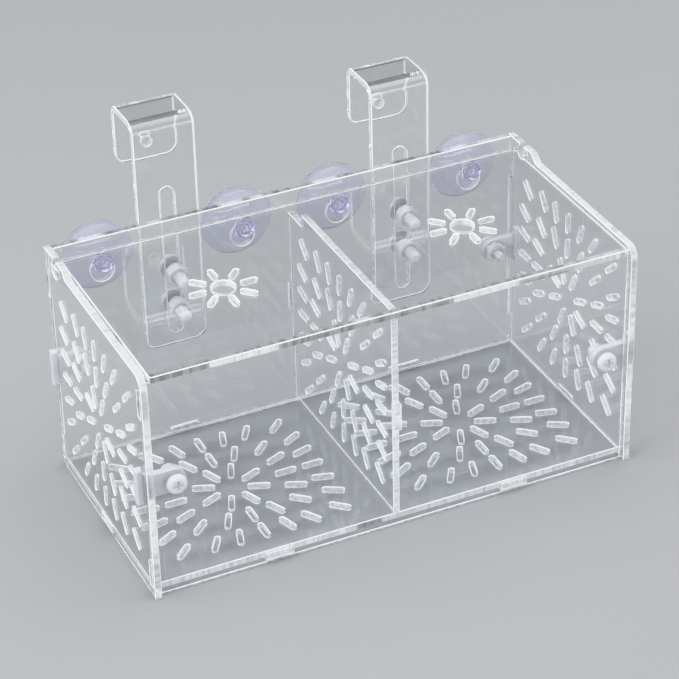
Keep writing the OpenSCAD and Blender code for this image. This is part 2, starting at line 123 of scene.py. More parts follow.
class Shader:
    """A material's node tree, with short calls for adding and joining nodes."""

    def __init__(self, name: str) -> None:
        """Starts an empty material.

        Args:
            name: the material's name.
        """
        self.material = bpy.data.materials.new(name)
        self.material.use_nodes = True
        self.tree = self.material.node_tree
        self.tree.nodes.clear()
        self.output = self.add("ShaderNodeOutputMaterial")

    def add(self, kind: str, **inputs: object) -> bpy.types.Node:
        """Adds a node and sets its inputs.

        Args:
            kind: Blender's name for the node type.
            **inputs: values or sockets by input name, with _ for a space.

        Returns:
            The new node.
        """
        node = self.tree.nodes.new(kind)
        for name, value in inputs.items():
            self.put(node.inputs[name.replace("_", " ")], value)
        return node

    def put(self, socket: bpy.types.NodeSocket, value: object) -> None:
        """Links a socket to an output, or sets its plain value.

        Args:
            socket: the input.
            value: an output socket or a plain value.
        """
        if isinstance(value, bpy.types.NodeSocket):
            self.tree.links.new(value, socket)
        else:
            socket.default_value = value

    def math(self, operation: str, first: object, second: object = 0.0) -> bpy.types.NodeSocket:
        """Adds a Math node.

        Args:
            operation: Blender's name for the sum.
            first: socket or number.
            second: socket or number.

        Returns:
            The result's socket.
        """
        node = self.tree.nodes.new("ShaderNodeMath")
        node.operation = operation
        self.put(node.inputs[0], first)
        self.put(node.inputs[1], second)
        return node.outputs[0]

    def place(self, stretch: Point) -> bpy.types.NodeSocket:
        """Gives the object's own coordinates, scaled along each axis.

        Args:
            stretch: the scale along X, Y and Z.

        Returns:
            The coordinates' socket.
        """
        where = self.add("ShaderNodeTexCoord")
        mapping = self.add("ShaderNodeMapping", Vector=where.outputs["Object"], Scale=stretch)
        return mapping.outputs[0]

    def noise(self, where: bpy.types.NodeSocket, scale: float, detail: float = 2.0) -> bpy.types.NodeSocket:
        """Returns a grey noise value at the given coordinates."""
        return self.add("ShaderNodeTexNoise", Vector=where, Scale=scale, Detail=detail).outputs[0]

    def ramp(self, value: object, low: float, high: float, start: float, end: float) -> bpy.types.NodeSocket:
        """Maps one range of numbers to another, held at both ends.

        Args:
            value: socket to map.
            low: its value where the result is start.
            high: its value where the result is end.
            start: the result at low.
            end: the result at high.

        Returns:
            The result's socket.
        """
        node = self.add("ShaderNodeMapRange", Value=value)
        for name, number in (("From Min", low), ("From Max", high), ("To Min", start), ("To Max", end)):
            node.inputs[name].default_value = number
        return node.outputs[0]

    def blend(self, share: object, first: bpy.types.Node, second: bpy.types.Node) -> bpy.types.Node:
        """Mixes two shaders.

        Args:
            share: socket or number; 0 shows the first shader, 1 the second.
            first: the first shader.
            second: the second shader.

        Returns:
            The mixing node.
        """
        node = self.add("ShaderNodeMixShader")
        self.put(node.inputs[0], share)
        self.put(node.inputs[1], first.outputs[0])
        self.put(node.inputs[2], second.outputs[0])
        return node

    def gathered(self) -> bpy.types.NodeSocket:
        """Returns 1 for rays that gather light onto a matt surface, 0 for the eye's own."""
        path = self.add("ShaderNodeLightPath")
        return self.math("MAXIMUM", path.outputs["Is Shadow Ray"], path.outputs["Is Diffuse Ray"])

    def wrinkle(self, height: bpy.types.NodeSocket, strength: float, depth: float) -> bpy.types.NodeSocket:
        """Returns the normal of a surface bumped by a height, to a depth in metres."""
        return self.add("ShaderNodeBump", Height=height, Strength=strength, Distance=depth).outputs[0]

    def two_tone(self, share: object, first: Colour, second: Colour) -> bpy.types.NodeSocket:
        """Mixes two plain colours.

        Args:
            share: socket or number; 0 gives the first colour, 1 the second.
            first: the first colour.
            second: the second colour.

        Returns:
            The mixed colour's socket.
        """
        node = self.add("ShaderNodeMixRGB")
        self.put(node.inputs[0], share)
        self.put(node.inputs[1], first)
        self.put(node.inputs[2], second)
        return node.outputs[0]

    def see_through(self, body: bpy.types.Node, lamp_tint: Colour) -> bpy.types.Material:
        """Finishes a clear material, which only tints the light that lamps send through it.

        Args:
            body: the shader that the eye sees.
            lamp_tint: the tint for lamps.

        Returns:
            The material.
        """
        lamp_side = self.add("ShaderNodeBsdfTransparent", Color=lamp_tint)
        return self.finish(self.blend(self.gathered(), body, lamp_side))

    def finish(self, surface: bpy.types.Node) -> bpy.types.Material:
        """Joins the surface to the output and returns the material."""
        self.put(self.output.inputs["Surface"], surface.outputs[0])
        return self.material


# ---- Finishes -----------------------------------------------------------------------------------


@dataclass(frozen=True)
class PolishedSheet:
    """The clear broad faces of cast sheet, which let lamps through.

    Attributes:
        tint: the colour that the eye sees through it.
        shade: the tint for lamps.
        ripple: strength of its faint waves.
        ripple_scale: waves to a metre.
    """

    tint: Colour = (0.982, 0.99, 0.995, 1.0)
    shade: Colour = (0.975, 0.98, 0.985, 1.0)
    ripple: float = 0.015
    ripple_scale: float = 60.0

    def material(self) -> bpy.types.Material:
        """Makes the finish: bent light for the eye, a light tint for lamps.

        Returns:
            The material.
        """
        s = Shader("polished_sheet")
        drift = s.noise(s.place(UNSTRETCHED), self.ripple_scale, 1.0)
        glass = s.add(
            "ShaderNodeBsdfPrincipled",
            Base_Color=self.tint,
            Roughness=0.0,
            IOR=ACRYLIC_INDEX,
            Transmission_Weight=1.0,
            Normal=s.wrinkle(drift, self.ripple, 1.0 * MM),
        )
        return s.see_through(glass, self.shade)


@dataclass(frozen=True)
class LaserCutPaintedGlow:
    """The bright, finely striped edge that a laser leaves across the sheet; its brightness is partly the
    laser's own frosting and partly painted glow for light piped along the sheet.

    Attributes:
        name: the material's name.
        across: the axis across the sheet, along which the stripes run.
        relief: strength of the stripes' bumps.
        dullest: how clear the edge is where it is most frosted.
        clearest: how clear it is where it is clearest.
        body: the edge's near-white colour, partly painted glow.
        stripe_pitch: distance between the fine stripes.
        rung_pitch: distance between the broader clear bands.
        stretch: scale of the stripes' pattern across the sheet.
        rung_rise: height of the broad bands beside that of the fine stripes.
        depth: depth of the bumps.
    """

    name: str
    across: Axis
    relief: float = 0.1
    dullest: float = 0.5
    clearest: float = 0.72
    body: Colour = (0.965, 0.973, 0.985, 1.0)
    stripe_pitch: float = 0.35 * MM
    rung_pitch: float = 2.4 * MM
    stretch: float = 0.04
    rung_rise: float = 0.6
    depth: float = 0.2 * MM

    def material(self) -> bpy.types.Material:
        """Makes the finish, with its stripes running across the sheet's thickness and painted glow in its
        white.

        Returns:
            The material.
        """
        s = Shader(self.name)
        scale = [1.0, 1.0, 1.0]
        scale[self.across.value] = self.stretch
        stripes = s.noise(s.place(tuple(scale)), 1.0 / self.stripe_pitch, 2.0)
        rungs = s.noise(s.place(tuple(scale)), 1.0 / self.rung_pitch, 3.0)
        height = s.math("ADD", stripes, s.math("MULTIPLY", rungs, self.rung_rise))
        normal = s.wrinkle(height, self.relief, self.depth)
        # Frosted white: partly the laser's own frosting, partly painted glow for light piped along the sheet.
        frost_and_painted_glow = s.add("ShaderNodeBsdfDiffuse", Color=self.body, Normal=normal)
        lit_through = s.add("ShaderNodeBsdfTranslucent", Color=self.body, Normal=normal)
        glass = s.add(
            "ShaderNodeBsdfPrincipled",
            Base_Color=self.body,
            Roughness=s.ramp(stripes, 0.35, 0.65, 0.06, 0.2),
            IOR=ACRYLIC_INDEX,
            Transmission_Weight=1.0,
            Normal=normal,
        )
        clear_share = s.ramp(rungs, 0.42, 0.66, self.dullest, self.clearest)
        return s.finish(s.blend(clear_share, s.blend(0.5, frost_and_painted_glow, lit_through), glass))


@dataclass(frozen=True)
class EasedArrisPaintedHighlight:
    """The thin melted line between a polished face and its cut edge, painted opaque near-white as a
    highlight.

    Attributes:
        colour: its near-white colour, a painted highlight.
        melt_scale: melted spots to a metre.
    """

    colour: Colour = (0.98, 0.985, 1.0, 1.0)
    melt_scale: float = 900.0

    def material(self) -> bpy.types.Material:
        """Makes the finish: glossy, opaque and nearly white, a painted highlight line.

        Returns:
            The material.
        """
        s = Shader("eased_arris_painted_highlight")
        melt = s.noise(s.place(UNSTRETCHED), self.melt_scale, 2.0)
        # Opaque near-white where the sheet is clear: a painted highlight line along the arris.
        painted_highlight = s.add(
            "ShaderNodeBsdfPrincipled",
            Base_Color=self.colour,
            Roughness=s.ramp(melt, 0.3, 0.7, 0.08, 0.3),
            IOR=ACRYLIC_INDEX,
        )
        return s.finish(painted_highlight)


@dataclass(frozen=True)
class MilkyNylon:
    """Translucent natural nylon, as moulded.

    Attributes:
        name: the material's name.
        colour: its colour.
        clearness: share of light that passes straight on.
        roughness: roughness of its skin.
        cloud_scale: clouds to a metre.
        cloud_tone: tone of the clouds beside the colour.
        grain_scale: skin grains to a metre.
        lamp_share: how much of a lamp's light passes through.
        glow_depth: how far light spreads inside.
    """

    name: str
    colour: Colour
    clearness: float
    roughness: float = 0.32
    cloud_scale: float = 420.0
    cloud_tone: float = 0.97
    grain_scale: float = 5200.0
    lamp_share: float = 0.68
    glow_depth: float = 1.6 * MM

    def material(self) -> bpy.types.Material:
        """Makes the finish: cloudy inside with a soft skin, and a light tint for lamps.

        Returns:
            The material.
        """
        s = Shader(self.name)
        cloud = s.noise(s.place(UNSTRETCHED), self.cloud_scale, 3.0)
        grain = s.noise(s.place(UNSTRETCHED), self.grain_scale, 2.0)
        cloudy = dimmed(self.colour, self.cloud_tone)
        deep = s.two_tone(s.ramp(cloud, 0.35, 0.65, 0.0, 1.0), cloudy, self.colour)
        skin = s.add(
            "ShaderNodeBsdfPrincipled",
            Base_Color=deep,
            Roughness=s.ramp(cloud, 0.3, 0.7, self.roughness - 0.02, self.roughness + 0.02),
            IOR=NYLON_INDEX,
            Transmission_Weight=self.clearness,
            Subsurface_Weight=0.5,
            Subsurface_Radius=UNSTRETCHED,
            Subsurface_Scale=self.glow_depth,
            Normal=s.wrinkle(grain, 0.04, 0.1 * MM),
        )
        return s.see_through(skin, dimmed(self.colour, self.lamp_share))


@dataclass(frozen=True)
class SoftCupPvc:
    """Clear soft plastic with a violet cast, for the suction cups.

    Attributes:
        name: the material's name.
        tint: its colour to the eye.
        lamp_tint: its tint for lamps.
        wave_scale: waves to a metre.
    """

    name: str
    tint: Colour
    lamp_tint: Colour = (0.87, 0.865, 0.95, 1.0)
    wave_scale: float = 300.0

    def material(self) -> bpy.types.Material:
        """Makes the finish: clear, slightly wavy, glossy.

        Returns:
            The material.
        """
        s = Shader(self.name)
        wave = s.noise(s.place(UNSTRETCHED), self.wave_scale, 2.0)
        body = s.add(
            "ShaderNodeBsdfPrincipled",
            Base_Color=self.tint,
            Roughness=0.06,
            IOR=PVC_INDEX,
            Transmission_Weight=0.95,
            Normal=s.wrinkle(wave, 0.1, 0.5 * MM),
        )
        return s.see_through(body, self.lamp_tint)


@dataclass(frozen=True)
class StudioPaper:
    """The pale floor, matt with a very faint mottle.

    Attributes:
        colour: its colour.
        mottle_scale: patches to a metre.
        mottle_tone: how much darker a patch is.
    """

    colour: Colour = (0.325, 0.331, 0.34, 1.0)
    mottle_scale: float = 6.0
    mottle_tone: float = 0.985

    def material(self) -> bpy.types.Material:
        """Makes the finish.

        Returns:
            The material.
        """
        s = Shader("studio_paper")
        fleck = s.noise(s.place(UNSTRETCHED), self.mottle_scale, 2.0)
        paper = s.add(
            "ShaderNodeBsdfPrincipled",
            Base_Color=s.two_tone(fleck, dimmed(self.colour, self.mottle_tone), self.colour),
            Roughness=0.8,
            Specular_IOR_Level=0.15,
        )
        return s.finish(paper)


# ---- Mesh helpers -------------------------------------------------------------------------------


def linked(name: str, data: bpy.types.ID) -> bpy.types.Object:
    """Puts a new object in the scene.

    Args:
        name: its name.
        data: its mesh, light or camera.

    Returns:
        The new object.
    """
    piece = bpy.data.objects.new(name, data)
    bpy.context.scene.collection.objects.link(piece)
    return piece


def new_piece(name: str, points: Sequence[Sequence[float]], faces: Faces) -> bpy.types.Object:
    """Makes a mesh object in the scene.

    Args:
        name: the piece's name.
        points: its vertices, in metres.
        faces: its faces, as vertex numbers.

    Returns:
        The new object.
    """
    mesh = bpy.data.meshes.new(name)
    mesh.from_pydata([tuple(map(float, p)) for p in points], [], [tuple(map(int, f)) for f in faces])
    mesh.validate()
    return linked(name, mesh)


def tie(piece: bpy.types.Object, body: str, node: str) -> None:
    """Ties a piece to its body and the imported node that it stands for.

    Args:
        piece: the piece.
        body: the body that it rides on.
        node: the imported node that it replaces.
    """
    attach(piece, body)
    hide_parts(node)


def shaped(piece: bpy.types.Object) -> bpy.types.Mesh:
    """Returns the mesh that a piece's modifiers give it."""
    return bpy.data.meshes.new_from_object(piece.evaluated_get(bpy.context.evaluated_depsgraph_get()))


def ring(first: int, steps: int) -> list[int]:
    """Returns the vertex numbers of one ring."""
    return list(range(first, first + steps))


def band(low: Sequence[int], high: Sequence[int]) -> Faces:
    """Returns the faces between two rings, as vertex numbers."""
    steps = len(low)
    return [[low[i], low[(i + 1) % steps], high[(i + 1) % steps], high[i]] for i in range(steps)]


def round_points(radius: float, height: float, steps: int) -> list[Point]:
    """Returns the points of a level circle about the Z axis."""
    turns = (2 * math.pi * i / steps for i in range(steps))
    return [(radius * math.cos(a), radius * math.sin(a), height) for a in turns]


def smooth(piece: bpy.types.Object, angle_deg: float = 35.0) -> None:
    """Shades a piece smooth, with edges sharper than the angle kept crisp."""
    piece.data.polygons.foreach_set("use_smooth", [True] * len(piece.data.polygons))
    piece.data.set_sharp_from_angle(angle=math.radians(angle_deg))


def keep_flats(piece: bpy.types.Object, kinds: Sequence[int], angle_deg: float = 25.0) -> None:
    """Gives each flat face its own normal right up to where it runs into a bend.

    Args:
        piece: a piece that is already shaded smooth.
        kinds: the finish number of each face; only polished faces are changed.
        angle_deg: a flat face lends its normal to a neighbour that leans less than this.
    """
    mesh = piece.data
    normals = [corner.vector.copy() for corner in mesh.corner_normals]
    flats: dict[int, list[Vector]] = {}
    for face, kind in zip(mesh.polygons, kinds):
        if kind == POLISHED and max(abs(v) for v in face.normal) > SQUARE:
            for corner in face.vertices:
                flats.setdefault(corner, []).append(face.normal.copy())
    limit = math.cos(math.radians(angle_deg))
    for face, kind in zip(mesh.polygons, kinds):
        if kind != POLISHED:
            continue
        for loop in face.loop_indices:
            near = [n for n in flats.get(mesh.loops[loop].vertex_index, []) if n.dot(face.normal) > limit]
            if near:
                normals[loop] = max(near, key=face.normal.dot)
    mesh.normals_split_custom_set(normals)


def turned(profile: Sequence[tuple[float, float]], steps: int) -> tuple[list[Point], Faces]:
    """Turns a half section about the Z axis.

    Args:
        profile: radius and height of each point; a radius of 0 closes the form.
        steps: facets round the axis.

    Returns:
        Vertices and faces.
    """
    points: list[Point] = []
    rings: list[list[int]] = []
    for radius, height in profile:
        if radius == 0.0:
            rings.append([len(points)] * steps)
            points.append((0.0, 0.0, height))
        else:
            rings.append(ring(len(points), steps))
            points += round_points(radius, height, steps)
    faces: Faces = []
    for low, high in zip(rings, rings[1:]):
        for corner in band(low, high):
            faces.append([v for k, v in enumerate(corner) if v != corner[k - 1]])
    return points, [f for f in faces if len(set(f)) > 2]


def facing(direction: Vector, at: Vector) -> Matrix:
    """Returns the matrix that turns +Z towards direction and moves the origin to a point."""
    return Matrix.Translation(at) @ direction.to_track_quat("Z", "Y").to_matrix().to_4x4()


def middle_of(node: str) -> Vector:
    """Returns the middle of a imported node's box."""
    low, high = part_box(node)
    return (low + high) / 2


# ---- Sheet pieces -------------------------------------------------------------------------------


@dataclass
class SheetPiece:
    """A piece cut from clear sheet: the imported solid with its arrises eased.

    Attributes:
        node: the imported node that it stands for.
        body: the body that it rides on.
        across: the axis across the sheet.
        bent: True for a strip bent round that lies across more than one axis.
        arris: width of the eased edge.
        air: how far every face is drawn in, which leaves a gap between touching pieces.
        bend_reach: how far down from the top a bent strip's bends may reach.
        opening: a cut-out no longer than this counts as a slot or hole.
        mostly: a normal's share along an axis above which a face looks that way.
        barely: its share above which a face leans that way at all.
    """

    node: str
    body: str
    across: Axis
    bent: bool = False
    arris: float = 0.24 * MM
    air: float = 0.02 * MM
    bend_reach: float = 8.0 * MM
    opening: float = 16.0 * MM
    mostly: float = 0.9
    barely: float = 0.05

    def build(self, nodes: Nodes, finishes: Sequence[bpy.types.Material]) -> bpy.types.Object:
        """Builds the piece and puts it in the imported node's place.

        Args:
            nodes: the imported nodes.
            finishes: polished face, outer edge, arris and slot wall, in that order.

        Returns:
            The new piece.
        """
        mesh = bmesh.new()
        mesh.from_mesh(nodes[self.node].data)
        bmesh.ops.remove_doubles(mesh, verts=mesh.verts, dist=MERGE)
        bmesh.ops.dissolve_degenerate(mesh, dist=MERGE, edges=mesh.edges)
        mesh.normal_update()
        points, faces, kinds = self.eased(mesh)
        mesh.free()
        piece = new_piece(f"{self.node}_sheet", points, faces)
        for finish in finishes:
            piece.data.materials.append(finish)
        piece.data.polygons.foreach_set("material_index", kinds)
        smooth(piece)
        keep_flats(piece, kinds)
        tie(piece, self.body, self.node)
        return piece

    def is_polished(self, face: bmesh.types.BMFace) -> bool:
        """Tells a broad face of the sheet from a cut edge.

        Args:
            face: the face.

        Returns:
            True for a broad face.
        """
        if not self.bent:
            return abs(face.normal[self.across.value]) > self.mostly
        if abs(face.normal.x) > self.barely:
            return False
        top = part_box(self.node)[1].z
        return abs(face.normal.z) < self.mostly or face.calc_center_median().z > top - self.bend_reach

    def eased(self, mesh: bmesh.types.BMesh) -> tuple[list[Vector], Faces, list[int]]:
        """Draws all faces in and puts a narrow face along each arris.

        Args:
            mesh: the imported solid, merged.

        Returns:
            Vertices, faces, and a finish number for each face.
        """
        polished = {f.index: self.is_polished(f) for f in mesh.faces}
        walls = self.slot_walls(mesh, polished)
        points: list[Vector] = []
        spot: dict[tuple[int, bool], int] = {}
        for vert in mesh.verts:
            sides = {polished[f.index] for f in vert.link_faces}
            for side in sides:
                spot[vert.index, side] = len(points)
                points.append(vert.co + self.shift(vert, side, polished, len(sides) == 2))
        faces: Faces = []
        kinds: list[int] = []
        for face in mesh.faces:
            side = polished[face.index]
            faces.append([spot[v.index, side] for v in face.verts])
            kinds.append(POLISHED if side else SLOT_WALL if face.index in walls else CUT_EDGE)
        for edge in mesh.edges:
            if len(edge.link_faces) != 2:
                continue
            one, two = edge.link_faces
            if polished[one.index] == polished[two.index]:
                continue
            broad = one if polished[one.index] else two
            loop = next(x for x in broad.loops if x.edge == edge)
            start, end = loop.vert.index, loop.link_loop_next.vert.index
            faces.append([spot[end, True], spot[start, True], spot[start, False], spot[end, False]])
            kinds.append(ARRIS)
        return points, faces, kinds

    def slot_walls(self, mesh: bmesh.types.BMesh, polished: dict[int, bool]) -> set[int]:
        """Finds the cut faces that line a slot or hole, not the sheet's outline.

        Args:
            mesh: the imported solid, merged.
            polished: whether each face is polished, by face number.

        Returns:
            The numbers of those faces.
        """
        walls: set[int] = set()
        seen: set[int] = set()
        for start in mesh.faces:
            if polished[start.index] or start.index in seen:
                continue
            wall, queue = [], [start]
            seen.add(start.index)
            while queue:
                face = queue.pop()
                wall.append(face)
                for near in (f for edge in face.edges for f in edge.link_faces):
                    if not polished[near.index] and near.index not in seen:
                        seen.add(near.index)
                        queue.append(near)
            spots = np.array([v.co for face in wall for v in face.verts])
            if np.ptp(spots, axis=0).max() < self.opening:
                walls.update(face.index for face in wall)
        return walls

    def shift(
        self, vert: bmesh.types.BMVert, side: bool, polished: dict[int, bool], on_arris: bool,
    ) -> Vector:
        """Finds how far a vertex moves so that its faces are drawn in.

        Args:
            vert: the vertex.
            side: True for its copy on the broad face, False for the one on the cut edge.
            polished: whether each face is polished, by face number.
            on_arris: True if it lies between a broad face and a cut edge.

        Returns:
            The move.
        """
        rows, wants = [], []
        for face in vert.link_faces:
            own = polished[face.index] == side
            rows.append(np.array(face.normal))
            wants.append(-self.air - (0.0 if own or not on_arris else self.arris))
        found = np.linalg.lstsq(np.array(rows), np.array(wants), rcond=1e-3)[0]
        return Vector(found.tolist())


@dataclass
class SheetWork:
    """All the pieces cut from clear sheet.

    Attributes:
        pieces: the pieces, in the order they are made.
    """

    pieces: list[SheetPiece] = field(default_factory=lambda: [
        SheetPiece("front_panel", "box", Axis.Y),
        SheetPiece("back_panel", "box", Axis.Y),
        SheetPiece("left_end_panel", "box", Axis.X),
        SheetPiece("right_end_panel", "box", Axis.X),
        SheetPiece("floor_panel", "box", Axis.Z),
        SheetPiece("divider", "box", Axis.X),
        SheetPiece("lid", "lid", Axis.Z),
        SheetPiece("left_hook", "left_hook", Axis.Y, bent=True),
        SheetPiece("right_hook", "right_hook", Axis.Y, bent=True),
    ])

    def build(self, nodes: Nodes) -> None:
        """Builds every sheet piece with its finishes.

        Args:
            nodes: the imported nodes.
        """
        clear = PolishedSheet().material()
        # The arris finish is a painted highlight; cut edges, slot walls and flamed edges get a frosted white
        # that is partly painted glow.
        arris = EasedArrisPaintedHighlight().material()
        cut = {axis: LaserCutPaintedGlow(f"laser_cut_painted_glow_{axis.name.lower()}", axis).material() for axis in Axis}
        wall = {
            axis: LaserCutPaintedGlow(f"slot_wall_{axis.name.lower()}", axis, dullest=0.1, clearest=0.45).material()
            for axis in Axis
        }
        flamed_painted_glow = LaserCutPaintedGlow("flamed_edge_painted_glow", Axis.Y, relief=0.02, dullest=0.7, clearest=0.85).material()
        for piece in self.pieces:
            edge = flamed_painted_glow if piece.bent else cut[piece.across]
            piece.build(nodes, [clear, edge, arris, wall[piece.across]])
            LOG.info("cut %s", piece.node)


# ---- Suction cups -------------------------------------------------------------------------------


@dataclass
class SuctionCup:
    """A soft cup: a thin skirt behind the back panel, a neck and a knob in front of it.

    Attributes:
        node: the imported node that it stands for.
        knob_h: length of the knob.
        knob_r: its radius.
        neck_r: radius of the neck.
        flange_r: radius of the skirt's thick middle.
        core: thickness of the skirt's middle.
        lip: thickness of the skirt at its rim.
        flare: power of the skirt's curve.
        hollow: power of the curve inside it.
        seam: how far behind the back panel's face the thick parts' finish ends.
        steps: facets round the cup.
        skirt_steps: facets down the skirt.
        hollow_steps: facets down the hollow.
    """

    node: str
    knob_h: float = 2.5 * MM
    knob_r: float = 4.2 * MM
    neck_r: float = 2.4 * MM
    flange_r: float = 6.1 * MM
    core: float = 1.5 * MM
    lip: float = 0.55 * MM
    flare: float = 1.6
    hollow: float = 1.8
    seam: float = 0.03 * MM
    steps: int = 96
    skirt_steps: int = 12
    hollow_steps: int = 14

    def profile(self, radius: float, height: float) -> list[tuple[float, float]]:
        """Draws the half section, from the knob's dimple round to the hollow's middle.

        Args:
            radius: the rim's radius.
            height: the rim's height behind the back panel.

        Returns:
            Radius and height of each point.
        """
        front = -SHEET_T - self.knob_h
        rings = (
            (0.0, 0.75), (0.35, 0.8), (0.6, 1.25), (1.05, 1.3), (1.35, 0.95), (1.55, 0.3), (1.75, 0.12),
            (2.05, 0.12), (2.25, 0.35), (2.5, 0.55), (2.85, 0.5), (3.05, 0.15), (3.25, 0.03),
        )
        rounding = ((0.55, 0.03), (0.3, 0.12), (0.1, 0.35), (0.02, 0.7))
        knob = [(r * MM, front + z * MM) for r, z in rings]
        knob += [(self.knob_r - r * MM, front + z * MM) for r, z in rounding]
        neck = [
            (self.knob_r - 0.02 * MM, -SHEET_T - 0.3 * MM), (self.knob_r - 0.25 * MM, -SHEET_T - 0.04 * MM),
            (self.neck_r + 0.2 * MM, -SHEET_T - 0.04 * MM), (self.neck_r, -SHEET_T + 0.2 * MM),
            (self.neck_r, -0.25 * MM), (self.neck_r + 0.15 * MM, 0.04 * MM),
            (self.flange_r - 0.3 * MM, 0.04 * MM),
        ]
        foot = 0.2 * MM
        rise, spread = height - self.lip - foot, radius - self.flange_r
        skirt = [
            (self.flange_r + spread * t, foot + rise * t ** self.flare)
            for t in (i / self.skirt_steps for i in range(self.skirt_steps + 1))
        ]
        edge = radius - 1.0 * MM
        rim = [
            (radius, height - 0.3 * self.lip), (radius - 0.15 * MM, height - 0.05 * MM),
            (radius - 0.45 * MM, height), (edge, height),
        ]
        inside = [
            (edge * t, self.core + (height - self.core) * t ** self.hollow)
            for t in (i / self.hollow_steps for i in reversed(range(self.hollow_steps)))
        ]
        return knob + neck + skirt + rim + inside

    def build(self, finishes: Sequence[bpy.types.Material]) -> bpy.types.Object:
        """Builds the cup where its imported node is.

        Args:
            finishes: the thin skirt's finish, and that of the thick knob and neck.

        Returns:
            The new piece.
        """
        low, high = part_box(self.node)
        radius = (high.x - low.x) / 2
        face = low.y + self.knob_h + SHEET_T
        points, faces = turned(self.profile(radius, high.y - face), self.steps)
        piece = new_piece(f"{self.node}_soft", points, faces)
        middle = middle_of(self.node)
        piece.data.transform(facing(Axis.Y.unit(), Vector((middle.x, face, middle.z))))
        for finish in finishes:
            piece.data.materials.append(finish)
        kinds = [int(f.center.y < face + self.seam) for f in piece.data.polygons]
        piece.data.polygons.foreach_set("material_index", kinds)
        smooth(piece, angle_deg=50.0)
        tie(piece, self.node, self.node)
        return piece


@dataclass
class CupSet:
    """The four suction cups behind the back panel.

    Attributes:
        nodes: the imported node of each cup.
    """

    nodes: tuple[str, ...] = ("outer_left_cup", "inner_left_cup", "inner_right_cup", "outer_right_cup")

    def build(self) -> None:
        """Builds all four cups, each with a thin skirt's finish and a thick knob's."""
        skirt = SoftCupPvc("soft_cup_pvc", (0.875, 0.868, 0.985, 1.0)).material()
        knob = SoftCupPvc("thick_cup_pvc", (0.78, 0.765, 0.98, 1.0), (0.9, 0.895, 0.97, 1.0)).material()
        for node in self.nodes:
            SuctionCup(node).build([skirt, knob])
            LOG.info("moulded %s", node)


# ---- Screws and nuts ----------------------------------------------------------------------------


